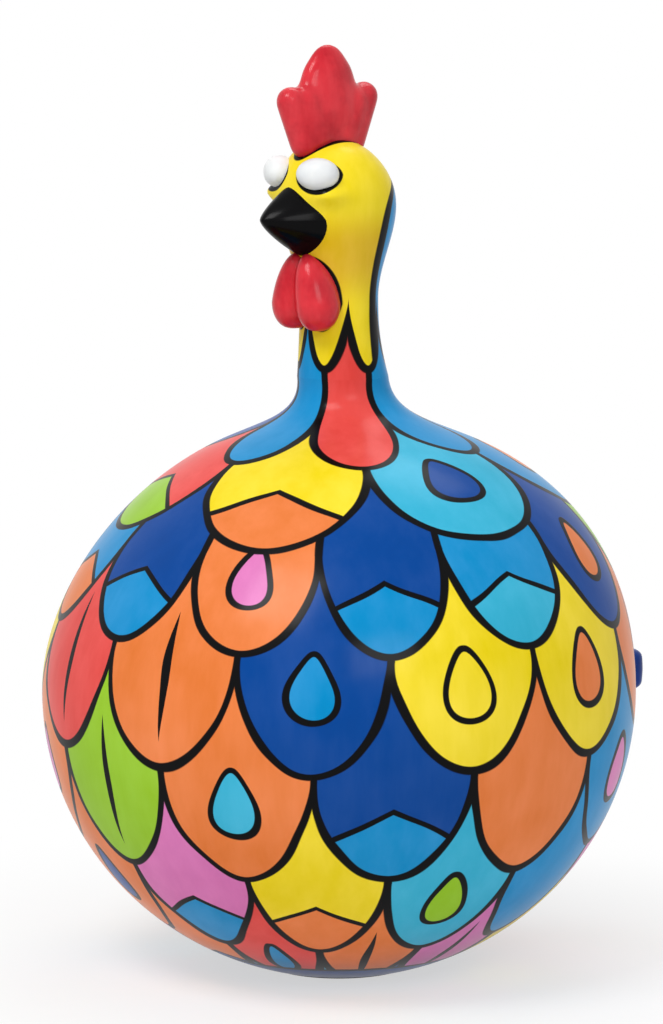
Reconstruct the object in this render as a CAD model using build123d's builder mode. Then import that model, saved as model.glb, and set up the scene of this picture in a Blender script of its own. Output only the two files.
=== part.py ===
from build123d import *

import os
from math import acos, asin, cos, degrees, radians, sin, sqrt

# A round-bodied, long-necked rooster ornament, cast in resin pieces that are pinned and glued together.
# Millimetres, +Z up. The beak points along -Y, and the felt under the foot stands on Z = 0.

# Fits
glue_film = 0.1  # room for glue between two castings and around every pin
stopper_clearance = 0.3  # around the rubber plug, so that it slides out

# Ball
ball_radius = 95.0  # half of the width at the equator
lower_drop = 92.0  # vertical half axis of the lower half
upper_rise = 88.5  # vertical half axis of the upper half
shell_wall = 5.0
lap_height = 6.0  # tongue of the lower half inside the upper half
lap_thickness = 2.4

# Foot, felt and stopper
foot_radius = 27.0  # flat ground under the ball
base_thickness = 8.0  # floor of the lower half around the stopper hole
felt_thickness = 1.0
felt_inset = 3.0  # from the edge of the foot to the felt
felt_lip = 1.5  # from the stopper pocket to the felt
stopper_hole_radius = 10.0
pocket_radius = 14.5  # round pocket for the stopper's flange
flange_thickness = 2.5
flange_recess = 1.0  # from the ground of the foot up to the flange
plug_overreach = 2.5  # end of the plug past the floor of the lower half
plug_bevel = 1.2
grip_groove_radius = 9.0  # ring groove under the flange for a fingernail
grip_groove_width = 2.4
grip_groove_depth = 1.2

# Collar, neck and head
flare_radius = 40.0  # where the flare leaves the ball
collar_height = 12.5  # from the top of the ball to the end of the collar
collar_radius = 14.5
spigot_radius = 9.0
spigot_length = 14.0
waist_rise = 25.0  # from the collar to the narrowest part of the neck
waist_radius = 12.4
cheek_rise = 55.4  # from the collar to the widest part of the head
cheek_radius = 18.2  # half of the head's width there
cheek_depth = 19.5  # half of the head's depth there
crown_height = 20.3  # from the widest part of the head to the crown
crown_flat_drop = 0.3  # the casting ends in a small flat, hidden under the comb
head_lean = 3.5  # how far the crown leans forward
neck_sections = 4
cheek_sections = 5
crown_sections = 5

# Pins
pin_radius = 1.25
comb_pin_length = 16.0
comb_pin_spacing = 9.0
beak_pin_length = 9.0
wattle_pin_length = 10.0
tail_pin_length = 12.0
tail_pin_spacing = 9.0
tail_pin_floor = 1.0  # of the ball's wall behind a tail pin

# Comb
comb_forward = 4.8  # from the neck's axis to the middle of the comb
comb_height = 29.2  # above the crown
comb_thickness = 11.5
comb_base_length = 25.0
comb_shoulder_radius = 4.8
comb_shoulder_reach = 18.0  # from the middle of the comb to the outside of a shoulder
comb_shoulder_rise = 13.0  # from the crown to the middle of a shoulder
comb_tongue_radius = 6.6  # round top of the tall tongue
comb_tongue_root = 24.0  # width of the tongue at its root, inside the head
comb_notch_round = 2.5
comb_edge_round = 3.5

# Beak
beak_reach = 31.6  # from the neck's axis to the tip
beak_corner_reach = 14.3  # from the neck's axis to the corners of the mouth
beak_root_length = 8.0  # the beak runs on inside the head, and the head's surface cuts it
beak_tip_drop = 4.7  # from the widest part of the head down to the tip
beak_width = 25.2  # at the corners of the mouth
beak_rise = 14.1  # of the upper half, from the mouth line
beak_drop = 11.1  # of the lower half
beak_tip_width = 4.6
beak_ridge_round = 0.7
upper_beak_pin_rise = 3.8  # from the mouth line
lower_beak_pin_drop = 3.0

# Eyes
eye_rise = 9.5  # from the widest part of the head to the middle of an eye
eye_angle = 33.0  # from straight ahead, in degrees
eye_distance = 17.2  # from the head's axis to the middle of an eye
eye_length = 13.7
eye_height = 10.2
eye_depth = 10.0
eye_stub_radius = 2.4
eye_stub_length = 8.5

# Wattles
wattle_side = 4.8  # from the mid plane to the middle of a lobe
wattle_forward = 13.6
wattle_radius = 7.9
wattle_upper = 15.5  # from the fullest part of a lobe to its top
wattle_lower = 9.5
wattle_rise = 24.0  # from the collar to the fullest part of a lobe

# Tail
tail_drop = 4.7  # below the equator
tail_length = 28.5  # from the ball's surface to the end of the middle feather
tail_root_depth = 8.0  # the feathers fan out from a point this far inside the ball's surface
tail_root_radius = 5.6  # of a feather at that point
tail_tip_radius = 6.8  # round end of a feather
tail_fan_angle = 24.0
tail_height = 14.5
tail_notch_round = 2.0
tail_edge_round = 2.0

# Heights worked out from the sizes above
foot_depth = lower_drop * sqrt(1 - (foot_radius / ball_radius) ** 2)
equator_z = felt_thickness + foot_depth
collar_z = equator_z + upper_rise + collar_height
waist_z = collar_z + waist_rise
cheek_z = collar_z + cheek_rise
crown_z = cheek_z + crown_height
mouth_z = cheek_z - beak_tip_drop
eye_z = cheek_z + eye_rise
wattle_z = collar_z + wattle_rise
tail_z = equator_z - tail_drop

os.makedirs("parts", exist_ok=True)


def smooth(share):
    """Rise from 0 to 1 that starts and ends level."""
    return share * share * (3 - 2 * share)


def head_radius(z):
    """Half of the neck's or head's width at a height."""
    if z <= waist_z:
        return waist_radius + (collar_radius - waist_radius) * ((waist_z - z) / waist_rise) ** 2
    if z <= cheek_z:
        return waist_radius + (cheek_radius - waist_radius) * smooth((z - waist_z) / (cheek_z - waist_z))
    return cheek_radius * sqrt(1 - ((z - cheek_z) / crown_height) ** 2)


def head_depth(z):
    """Half of the neck's or head's depth at a height: the head is deeper than it is wide."""
    share = min(max((z - waist_z) / (cheek_z - waist_z), 0), 1)
    return head_radius(z) * (1 + (cheek_depth / cheek_radius - 1) * smooth(share))


def head_shift(z):
    """Y of the middle of the neck or head at a height."""
    share = max((z - waist_z) / (crown_z - waist_z), 0)
    return -head_lean * share**2


def head_form(film):
    """Neck and head, grown by a film all round."""
    flat_angle = asin(1 - crown_flat_drop / crown_height)
    heights = [collar_z + waist_rise * step / neck_sections for step in range(neck_sections)]
    heights += [waist_z + (cheek_z - waist_z) * step / cheek_sections for step in range(cheek_sections)]
    for step in range(crown_sections + 1):
        heights.append(cheek_z + crown_height * sin(flat_angle * step / crown_sections))
    with BuildPart() as form:
        for z in heights:
            with BuildSketch(Plane(origin=(0, head_shift(z), z), x_dir=(0, 1, 0), z_dir=(0, 0, 1))):
                Ellipse(head_depth(z) + film, head_radius(z) + film)
        loft()
    return form.part


def oval_arc(half_width, half_height, first_angle, last_angle):
    """Arc of an upright oval about the middle of the ball, for an outline that is turned about Z."""
    middle_angle = radians(first_angle + last_angle) / 2
    half_angle = radians(last_angle - first_angle) / 2
    pull = cos(half_angle)  # weight of the middle point, which makes the curve a true oval
    points = []
    for angle, stretch in ((-half_angle, 1), (0, 1 / pull), (half_angle, 1)):
        across = half_width * stretch * cos(middle_angle + angle)
        up = half_height * stretch * sin(middle_angle + angle)
        points.append((across, equator_z + up))
    return Bezier(*points, weights=[1, pull, 1])


def plump_form(half_length, half_width, rise, drop):
    """Egg form along X and Y whose halves above and below its widest level can differ in height."""
    with BuildPart() as form:
        for height, first, last in ((rise, 0, 90), (drop, -90, 0)):
            half_ball = Sphere(1, arc_size1=first, arc_size2=last, align=None, mode=Mode.PRIVATE)
            add(half_ball.scale((half_length, half_width, height)))
    return form.part


def pins(planes, length, film):
    """Round pins, or their holes grown by a film, centred on planes that they stand square to."""
    with BuildPart() as group:
        with BuildSketch(*planes):
            Circle(pin_radius + film)
        extrude(amount=length / 2 + film, both=True)
    return group.part


# Where the pins stand
comb_pin_planes = []
for side in (-1, 1):
    pin_y = -comb_forward + side * comb_pin_spacing / 2
    pin_share = (pin_y - head_shift(crown_z)) / cheek_depth
    seat_z = cheek_z + crown_height * sqrt(1 - pin_share**2)
    comb_pin_planes.append(Plane(origin=(0, pin_y, seat_z), z_dir=(0, 0, 1)))

beak_pin_planes = []
for pin_z in (mouth_z + upper_beak_pin_rise, mouth_z - lower_beak_pin_drop):
    seat_y = head_shift(pin_z) - head_depth(pin_z)
    beak_pin_planes.append(Plane(origin=(0, seat_y, pin_z), z_dir=(0, -1, 0)))

wattle_pin_planes = []
for side in (-1, 1):
    seat_y = head_shift(wattle_z) - sqrt(head_radius(wattle_z) ** 2 - wattle_side**2)
    wattle_pin_planes.append(Plane(origin=(side * wattle_side, seat_y, wattle_z), z_dir=(0, -1, 0)))

tail_pin_planes = []
for side in (-1, 1):
    pin_y = ball_radius - shell_wall + tail_pin_floor + glue_film + tail_pin_length / 2
    tail_pin_planes.append(Plane(origin=(side * tail_pin_spacing / 2, pin_y, tail_z), z_dir=(0, 1, 0)))


def eye_plane(side):
    """Plane at the middle of an eye: x along the eye, y up, and z out of the head."""
    outward = Vector(side * sin(radians(eye_angle)), -cos(radians(eye_angle)), 0)
    middle = Vector(0, head_shift(eye_z), eye_z) + outward * eye_distance
    return Plane(origin=middle, x_dir=(-outward.Y, outward.X, 0), z_dir=outward)


def eye_stub(side, film):
    """Round stub behind an eye, or its hole grown by a film."""
    with BuildPart() as stub:
        with BuildSketch(eye_plane(side)):
            Circle(eye_stub_radius + film)
        extrude(amount=-eye_stub_length - film)
    return stub.part


# Lower half of the ball, with its tongue, its floor and the stopper's hole and pocket
inner_radius = ball_radius - shell_wall
inner_drop = lower_drop - shell_wall
floor_z = felt_thickness + base_thickness
foot_angle = degrees(acos(foot_radius / ball_radius))
floor_angle = degrees(asin((equator_z - floor_z) / inner_drop))
pocket_roof_z = felt_thickness + flange_recess + flange_thickness
tongue_radius = inner_radius + lap_thickness

tail_pin_holes = pins(tail_pin_planes, tail_pin_length, glue_film)
with BuildPart() as body_lower_shell:
    with BuildSketch(Plane.XZ):
        with BuildLine():
            outside = oval_arc(ball_radius, lower_drop, -foot_angle, 0)
            inside = oval_arc(inner_radius, inner_drop, -floor_angle, 0)
            Polyline(
                outside @ 1,
                (tongue_radius, equator_z),
                (tongue_radius, equator_z + lap_height),
                (inner_radius, equator_z + lap_height),
                inside @ 1,
            )
            Polyline(
                inside @ 0,
                (stopper_hole_radius, floor_z),
                (stopper_hole_radius, pocket_roof_z),
                (pocket_radius, pocket_roof_z),
                (pocket_radius, felt_thickness),
                outside @ 0,
            )
        make_face()
    revolve(axis=Axis.Z)
    add(tail_pin_holes, mode=Mode.SUBTRACT)
body_lower_shell.part.label = "body_lower_shell"
export_step(body_lower_shell.part, "parts/body_lower_shell.step")

# Upper half of the ball, with the rebate for the tongue and the collar that takes the neck's spigot
inner_rise = upper_rise - shell_wall
flare_angle = degrees(acos(flare_radius / ball_radius))
rebate_z = equator_z + lap_height + glue_film
rebate_angle = degrees(asin((rebate_z - equator_z) / inner_rise))
socket_radius = spigot_radius + glue_film
socket_angle = degrees(acos(socket_radius / inner_radius))

with BuildPart() as body_upper_shell:
    with BuildSketch(Plane.XZ):
        with BuildLine():
            outside = oval_arc(ball_radius, upper_rise, 0, flare_angle)
            flare = Spline(outside @ 1, (collar_radius, collar_z), tangents=[outside % 1, (0, 1)])
            inside = oval_arc(inner_radius, inner_rise, rebate_angle, socket_angle)
            Polyline(flare @ 1, (socket_radius, collar_z), inside @ 1)
            Polyline(
                inside @ 0,
                (tongue_radius + glue_film, rebate_z),
                (tongue_radius + glue_film, equator_z),
                outside @ 0,
            )
        make_face()
    revolve(axis=Axis.Z)
body_upper_shell.part.label = "body_upper_shell"
export_step(body_upper_shell.part, "parts/body_upper_shell.step")

# Head and neck in one casting, with the spigot below and the holes for what is fixed to the head
head_casting = head_form(0)
head_holes = [
    pins(comb_pin_planes, comb_pin_length, glue_film),
    pins(beak_pin_planes, beak_pin_length, glue_film),
    pins(wattle_pin_planes, wattle_pin_length, glue_film),
    eye_stub(-1, glue_film),
    eye_stub(1, glue_film),
]
with BuildPart() as head_and_neck:
    add(head_casting)
    with Locations((0, 0, collar_z)):
        Cylinder(spigot_radius, spigot_length, align=(Align.CENTER, Align.CENTER, Align.MAX))
    add(head_holes, mode=Mode.SUBTRACT)
head_and_neck.part.label = "head_and_neck"
export_step(head_and_neck.part, "parts/head_and_neck.step")

# Comb: two round shoulders and a tall tongue, plump at the edges
shoulder_y = comb_shoulder_reach - comb_shoulder_radius
comb_root = -crown_height / 2  # the comb starts inside the head, and the head's surface cuts it
comb_plane = Plane(origin=(0, -comb_forward, crown_z), x_dir=(0, 1, 0), z_dir=(1, 0, 0))
comb_seat = head_form(glue_film)
comb_pin_holes = pins(comb_pin_planes, comb_pin_length, glue_film)
with BuildPart() as comb:
    with BuildSketch(comb_plane):
        for side in (-1, 1):
            with BuildLine() as shoulder:
                CenterArc((side * shoulder_y, comb_shoulder_rise), comb_shoulder_radius, 0, 360)
                Line((-comb_base_length / 2, comb_root), (comb_base_length / 2, comb_root))
            make_hull(shoulder.edges())
        with BuildLine() as tongue:
            CenterArc((0, comb_height - comb_tongue_radius), comb_tongue_radius, 0, 360)
            Line((-comb_tongue_root / 2, comb_root), (comb_tongue_root / 2, comb_root))
        make_hull(tongue.edges())
        offset(amount=comb_notch_round)
        offset(amount=-comb_notch_round)
    extrude(amount=comb_thickness / 2, both=True)
    fillet(comb.faces().filter_by(Axis.X).edges(), comb_edge_round)
    add(comb_seat, mode=Mode.SUBTRACT)
    add(comb_pin_holes, mode=Mode.SUBTRACT)
comb.part.label = "comb"
export_step(comb.part, "parts/comb.step")

# Beak: an upper and a lower half that meet along the mouth line
for name, ridge in (("upper_beak", beak_rise), ("lower_beak", -beak_drop)):
    lip = glue_film / 2 if ridge > 0 else -glue_film / 2
    beak_seat = head_form(glue_film)
    beak_pin_holes = pins(beak_pin_planes, beak_pin_length, glue_film)
    with BuildPart() as beak_half:
        for reach, width in ((beak_corner_reach, beak_width), (beak_reach, beak_tip_width)):
            half_width = width / 2
            ridge_height = ridge * width / beak_width
            with BuildSketch(Plane(origin=(0, -reach, mouth_z), x_dir=(1, 0, 0), z_dir=(0, -1, 0))):
                Polygon((-half_width, lip), (half_width, lip), (0, lip + ridge_height), align=None)
        loft(ruled=True)
        root_edges = beak_half.faces().sort_by(Axis.Y)[-1].edges()
        fillet(beak_half.edges() - root_edges, beak_ridge_round)
        extrude(beak_half.faces().sort_by(Axis.Y)[-1], amount=beak_root_length)
        add(beak_seat, mode=Mode.SUBTRACT)
        add(beak_pin_holes, mode=Mode.SUBTRACT)
    beak_half.part.label = name
    export_step(beak_half.part, f"parts/{name}.step")

# Eyes: plump ovals with a stub that sits in the head
for name, side in (("left_eye", 1), ("right_eye", -1)):
    oval = plump_form(eye_length / 2, eye_height / 2, eye_depth / 2, eye_depth / 2)
    stub = eye_stub(side, 0)
    eye_seat = head_form(glue_film)
    with BuildPart() as eye:
        with Locations(eye_plane(side).location):
            add(oval)
        add(eye_seat, mode=Mode.SUBTRACT)
        add(stub)
    eye.part.label = name
    export_step(eye.part, f"parts/{name}.step")

# Wattles: two hanging lobes that meet on the mid plane
for name, side in (("left_wattle", 1), ("right_wattle", -1)):
    lobe = plump_form(wattle_radius, wattle_radius, wattle_upper, wattle_lower)
    wattle_seat = head_form(glue_film)
    wattle_pin_holes = pins(wattle_pin_planes, wattle_pin_length, glue_film)
    with BuildPart() as wattle:
        with Locations((side * wattle_side, -wattle_forward, wattle_z)):
            add(lobe)
        split(bisect_by=Plane.YZ.offset(side * glue_film / 2), keep=Keep.TOP if side > 0 else Keep.BOTTOM)
        add(wattle_seat, mode=Mode.SUBTRACT)
        add(wattle_pin_holes, mode=Mode.SUBTRACT)
    wattle.part.label = name
    export_step(wattle.part, f"parts/{name}.step")

# Tail: three short plump feathers in a fan, cut to sit on the ball
tail_root = Vector(0, ball_radius - tail_root_depth)
tip_distance = tail_root_depth + tail_length - tail_tip_radius  # from the root to the middle of a round end
with BuildPart() as ball_seat:
    with BuildSketch(Plane.XZ):
        with BuildLine():
            below = oval_arc(ball_radius + glue_film, lower_drop + glue_film, -foot_angle, 0)
            above = oval_arc(ball_radius + glue_film, upper_rise + glue_film, 0, flare_angle)
            Polyline(above @ 1, (0, (above @ 1).Y), (0, (below @ 0).Y), below @ 0)
        make_face()
    revolve(axis=Axis.Z)

tail_pin_holes = pins(tail_pin_planes, tail_pin_length, glue_film)
with BuildPart() as tail:
    with BuildSketch(Plane.XY.offset(tail_z)):
        for step in (-1, 0, 1):
            angle = radians(step * tail_fan_angle)
            tip_middle = tail_root + Vector(sin(angle), cos(angle)) * tip_distance
            with BuildLine() as feather:
                CenterArc(tail_root, tail_root_radius, 0, 360)
                CenterArc(tip_middle, tail_tip_radius, 0, 360)
            make_hull(feather.edges())
        offset(amount=tail_notch_round)
        offset(amount=-tail_notch_round)
    extrude(amount=tail_height / 2, both=True)
    fillet(tail.faces().filter_by(Axis.Z).edges(), tail_edge_round)
    add(ball_seat.part, mode=Mode.SUBTRACT)
    add(tail_pin_holes, mode=Mode.SUBTRACT)
tail.part.label = "tail"
export_step(tail.part, "parts/tail.step")

# Steel pins, two to a node
for name, planes, length in (
    ("comb_pins", comb_pin_planes, comb_pin_length),
    ("beak_pins", beak_pin_planes, beak_pin_length),
    ("wattle_pins", wattle_pin_planes, wattle_pin_length),
    ("tail_pins", tail_pin_planes, tail_pin_length),
):
    pin_pair = pins(planes, length, 0)
    pin_pair.label = name
    export_step(pin_pair, f"parts/{name}.step")

# Rubber stopper, seated in its pocket so that it stays clear of the table
flange_z = felt_thickness + flange_recess
plug_length = floor_z + plug_overreach - pocket_roof_z

with BuildPart() as base_stopper:
    with BuildSketch(Plane.XY.offset(flange_z)):
        Circle(pocket_radius - stopper_clearance)
    extrude(amount=flange_thickness)
    with BuildSketch(Plane.XY.offset(pocket_roof_z)):
        Circle(stopper_hole_radius - stopper_clearance)
    extrude(amount=plug_length)
    chamfer(base_stopper.faces().sort_by(Axis.Z)[-1].edges(), plug_bevel)
    with BuildSketch(Plane.XY.offset(flange_z)):
        Circle(grip_groove_radius + grip_groove_width / 2)
        Circle(grip_groove_radius - grip_groove_width / 2, mode=Mode.SUBTRACT)
    extrude(amount=grip_groove_depth, mode=Mode.SUBTRACT)
base_stopper.part.label = "base_stopper"
export_step(base_stopper.part, "parts/base_stopper.step")

# Felt ring under the foot
with BuildPart() as felt_ring:
    with BuildSketch(Plane.XY):
        Circle(foot_radius - felt_inset)
        Circle(pocket_radius + felt_lip, mode=Mode.SUBTRACT)
    extrude(amount=felt_thickness)
felt_ring.part.label = "felt_ring"
export_step(felt_ring.part, "parts/felt_ring.step")
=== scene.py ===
# %% [markdown]
# # A painted rooster ornament
# The real thing is a hollow resin casting: a ball for a body, a long neck with a small head, and a comb,
# eyes, beak, wattles and tail that are pinned and glued on. It is painted by hand in bright colours with
# black outlines, and then lacquered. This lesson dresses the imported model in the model's own frame.

# %% Load the frame
from math import acos, copysign, cos, exp, pi, radians, sin, sqrt, tau

import bmesh
import bpy
from mathutils import Matrix, Vector


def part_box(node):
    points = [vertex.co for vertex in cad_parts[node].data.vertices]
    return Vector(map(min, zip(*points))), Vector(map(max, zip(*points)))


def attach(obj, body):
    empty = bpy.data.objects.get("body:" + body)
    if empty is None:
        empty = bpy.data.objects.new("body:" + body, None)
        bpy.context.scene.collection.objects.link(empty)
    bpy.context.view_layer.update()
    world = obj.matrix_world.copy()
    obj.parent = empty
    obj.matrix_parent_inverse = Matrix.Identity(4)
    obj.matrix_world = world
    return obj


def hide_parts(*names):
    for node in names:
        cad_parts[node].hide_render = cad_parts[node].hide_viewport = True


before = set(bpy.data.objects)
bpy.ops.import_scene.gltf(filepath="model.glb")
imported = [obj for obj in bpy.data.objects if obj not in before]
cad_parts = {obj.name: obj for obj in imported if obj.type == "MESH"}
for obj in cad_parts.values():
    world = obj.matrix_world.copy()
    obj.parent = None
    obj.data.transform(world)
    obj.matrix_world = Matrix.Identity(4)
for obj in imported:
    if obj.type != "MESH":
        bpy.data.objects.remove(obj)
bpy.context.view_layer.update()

mm = 0.001
print("nodes in the frame:", len(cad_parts))

# %% [markdown]
# ## Sizes from the frame
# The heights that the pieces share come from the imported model, with a few steps of the casting between
# them. The equator is where the two halves of the ball meet, the collar is where the neck starts, and the
# waist is its narrowest part.

# %% Heights and places
crown_flat_drop = 0.3 * mm  # the modelled head ends in a small flat, under the comb
crown_height = 20.3 * mm  # from the widest part of the head to the crown
waist_rise = 25 * mm  # from the collar
mouth_drop = 4.7 * mm  # from the widest part of the head

ball_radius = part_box("body_lower_shell")[1].x
foot_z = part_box("felt_ring")[1].z
equator_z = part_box("body_upper_shell")[0].z
collar_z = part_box("body_upper_shell")[1].z
crown_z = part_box("head_and_neck")[1].z + crown_flat_drop
cheek_z = crown_z - crown_height
waist_z = collar_z + waist_rise
mouth_z = cheek_z - mouth_drop
eye_z = (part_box("left_eye")[0].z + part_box("left_eye")[1].z) / 2
print(f"equator {equator_z / mm:.1f}, collar {collar_z / mm:.1f}, crown {crown_z / mm:.1f} mm")

# %% [markdown]
# ## Node trees that read like formulas
# A painted pattern is a formula over the surface, and so is a turned shape. Wiring Math nodes by hand hides
# the formula, so this small class adds a Math node for every sum, and a pattern is written as it is thought.


# %% A field of values
def plug(tree, socket, value):
    """Link a socket to a field or to another socket, or set its value."""
    if isinstance(value, Field):
        value = value.socket
    if isinstance(value, bpy.types.NodeSocket):
        tree.links.new(value, socket)
    else:
        socket.default_value = value


def add_node(tree, kind, inputs=None, **settings):
    """A node with its settings, and its inputs linked or set."""
    node = tree.nodes.new(kind)
    for name, value in settings.items():
        setattr(node, name, value)
    for name, value in (inputs or {}).items():
        plug(tree, node.inputs[name], value)
    return node


class Field:
    """A number that varies over a surface. Sums on it add Math nodes to its tree."""

    def __init__(self, tree, socket):
        self.tree = tree
        self.socket = socket

    def math(self, operation, *others):
        node = self.tree.nodes.new("ShaderNodeMath")
        node.operation = operation
        for socket, value in zip(node.inputs, (self, *others)):
            plug(self.tree, socket, value)
        return Field(self.tree, node.outputs[0])

    def __add__(self, other):
        return self.math("ADD", other)

    def __sub__(self, other):
        return self.math("SUBTRACT", other)

    def __rsub__(self, other):
        return self.math("MULTIPLY", -1.0).math("ADD", other)

    def __mul__(self, other):
        return self.math("MULTIPLY", other)

    def __truediv__(self, other):
        return self.math("DIVIDE", other)

    def __pow__(self, other):
        return self.math("POWER", other)

    __radd__ = __add__
    __rmul__ = __mul__

    def size(self):
        return self.math("ABSOLUTE")

    def floor(self):
        return self.math("FLOOR")

    def wrap(self, count):
        return self.math("FLOORED_MODULO", count)

    def below(self, other):
        return self.math("LESS_THAN", other)

    def above(self, other):
        return self.math("GREATER_THAN", other)

    def pick(self, yes, no):
        """One of two fields: yes where this field is 1, no where it is 0."""
        return no + (yes - no) * self

    def step(self, first, last):
        """Smooth rise from 0 at first to 1 at last."""
        node = self.tree.nodes.new("ShaderNodeMapRange")
        node.interpolation_type = "SMOOTHSTEP"
        for name, value in (("Value", self), ("From Min", first), ("From Max", last)):
            plug(self.tree, node.inputs[name], value)
        return Field(self.tree, node.outputs["Result"])


def length_of(first, second):
    """Length of a vector with these two parts."""
    return (first * first + second * second).math("SQRT")


def parts_of(tree, vector):
    """The three parts of a vector as fields."""
    node = add_node(tree, "ShaderNodeSeparateXYZ", {"Vector": vector})
    return [Field(tree, socket) for socket in node.outputs]


def oval_edge(across, half_across, up, half_up):
    """Distance out from the edge of an oval, measured square to the edge."""
    share = length_of(across / half_across, up / half_up)
    slope = length_of(across / half_across**2, up / half_up**2)
    return (share - 1.0) * share / slope.math("MAXIMUM", 1.0)


def mix_colour(tree, share, first, second):
    """A colour between two colours."""
    node = add_node(tree, "ShaderNodeMix", data_type="RGBA")
    for index, value in ((0, share), (6, first), (7, second)):
        plug(tree, node.inputs[index], value)
    return node.outputs[2]


print("node helpers are ready")

# %% [markdown]
# ## Paints
# The feathers take eight bright colours, the face a golden yellow besides for painted shade under the cheeks,
# and the outlines black. They are written as they look on a screen, and turned into the linear values that
# the renderer works with. Some are used more often, and so stand twice on the palette.


# %% Colours
def paint(code):
    """Linear colour of a six-digit screen colour."""
    parts = [int(code[place : place + 2], 16) / 255 for place in (0, 2, 4)]
    linear = [part / 12.92 if part <= 0.04045 else ((part + 0.055) / 1.055) ** 2.4 for part in parts]
    return (*linear, 1.0)


sky_blue = paint("1c8fcb")
sun_yellow = paint("f3da2e")
# darker golden yellow, used as painted shade under the cheeks
painted_cheek_shade = paint("d9aa1a")
coral_red = paint("e4514c")
turquoise = paint("3fb4d6")
deep_blue = paint("0c4796")
warm_orange = paint("e98146")
leaf_green = paint("98c830")
candy_pink = paint("dd7cbb")
outline_black = paint("070709")
feather_paints = (
    sky_blue, sun_yellow, deep_blue, coral_red, turquoise, warm_orange,
    sky_blue, leaf_green, deep_blue, candy_pink, sun_yellow, warm_orange,
)
print("paints on the palette:", len(feather_paints))

# %% [markdown]
# ## Brush strokes under lacquer
# Every painted piece shows the same hand: the colour is a little uneven along the strokes, and the lacquer
# over it is smooth but not perfect. That is one shader group, with its own scale and strength in each
# material. It gives a colour, a roughness and a height, and the shader itself stays in the material.


# %% Helpers for shader groups
def new_group(name, inputs, outputs):
    """An empty shader group with named sockets, and its input fields by name."""
    group = bpy.data.node_groups.new(name, "ShaderNodeTree")
    for socket_name, kind in inputs:
        group.interface.new_socket(name=socket_name, in_out="INPUT", socket_type="NodeSocket" + kind)
    for socket_name, kind in outputs:
        group.interface.new_socket(name=socket_name, in_out="OUTPUT", socket_type="NodeSocket" + kind)
    source = group.nodes.new("NodeGroupInput")
    given = {socket_name: Field(group, source.outputs[socket_name]) for socket_name, _ in inputs}
    return group, given


def give(group, results):
    """Link the results of a group to its outputs."""
    sink = group.nodes.new("NodeGroupOutput")
    for name, value in results.items():
        plug(group, sink.inputs[name], value)


def noise(tree, vector, scale, detail=2.0, roughness=0.5):
    """Noise over a vector, from 0 to 1."""
    values = {"Vector": vector, "Scale": scale, "Detail": detail, "Roughness": roughness}
    node = add_node(tree, "ShaderNodeTexNoise", values)
    return Field(tree, node.outputs["Fac"])


print("group helpers are ready")

# %% The brush stroke group
stroke_stretch = 0.22  # strokes run up and down, so they change slowly along Z
stroke_share = 0.8
cloud_scale = 38.0
cloud_share = 1.2
fading = 0.35  # lighter strokes are a little paler
smoothest = 0.24
roughening = 0.14
ripple_scale = 260.0
stroke_relief = 0.35
ripple_relief = 0.4


def make_brush_group():
    """Uneven paint along the strokes, and the small waves of the lacquer."""
    inputs = (("Color", "Color"), ("Place", "Vector"), ("Fineness", "Float"), ("Strength", "Float"))
    outputs = (("Color", "Color"), ("Roughness", "Float"), ("Height", "Float"))
    group, given = new_group("brush_strokes", inputs, outputs)
    stretch = (1.0, 1.0, stroke_stretch)
    stretched = add_node(group, "ShaderNodeMapping", {"Vector": given["Place"], "Scale": stretch})
    strokes = noise(group, stretched.outputs[0], given["Fineness"], detail=4.0, roughness=0.6)
    clouds = noise(group, given["Place"], cloud_scale)
    uneven = (strokes - 0.5) * stroke_share + (clouds - 0.5) * cloud_share
    shade = add_node(group, "ShaderNodeHueSaturation", {"Color": given["Color"]})
    plug(group, shade.inputs["Value"], uneven * given["Strength"] + 1.0)
    plug(group, shade.inputs["Saturation"], uneven * given["Strength"] * -fading + 1.0)
    ripple = noise(group, given["Place"], ripple_scale, detail=1.0)
    give(group, {
        "Color": shade.outputs[0],
        "Roughness": strokes * roughening + smoothest,
        "Height": strokes * stroke_relief + ripple * ripple_relief,
    })
    return group


brush_group = make_brush_group()
print("group:", brush_group.name)

# %% [markdown]
# ## Painted feathers
# The body is covered in rounded feathers that lie over each other like roof tiles, each outlined in black. A
# tile pattern needs no picture: in a band between two rows, a point is either on the hanging tip of the row
# above, where (2x)^1.9 + y^1.75 < 1, or on the row below. A feather's row and column then choose its colour
# and its motif: a drop, a pointed second colour, a quill, or none. The columns wrap, so there is no seam.
# Most sizes here are shares of a feather's width or of a row's height, so they fit every row.

# %% Sizes of the feathers and their motifs
side_power = 1.9
tip_power = 1.75
tip_reach = 0.95
least_slope = 8.0  # for the division where the formula is flat

# Chances of the motifs: a drop up to the first, a point up to the second, a quill from the third
drop_until = 0.36
point_until = 0.66
quill_from = 0.82

drop_along = 1.22
drop_half_height = 0.3
drop_half_width = 0.15
drop_swell = 0.4
drop_least = 0.3
point_along = 1.28
point_slope = 0.55
quill_start = 0.7
quill_end = 1.66
quill_fullness = 4.2 * mm

# Steps along the palette from row to row and from column to column, and at random
row_pots = 2.0
column_pots = 3.0
stray_pots = 3.0

# Lines of the motifs are thinner than outlines, and every line has a slightly soft rim
thin_line = 0.8
hair_line = 0.3
line_core = 0.82
line_rim = 1.12
print(f"feathers with a drop: {drop_until:.0%}, with a point: {point_until - drop_until:.0%}")


# %% The feather group
def line_mask(distance, half_width):
    """1 on a brush line along a distance of 0, and 0 beside it."""
    return 1.0 - distance.step(half_width * line_core, half_width * line_rim)


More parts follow.
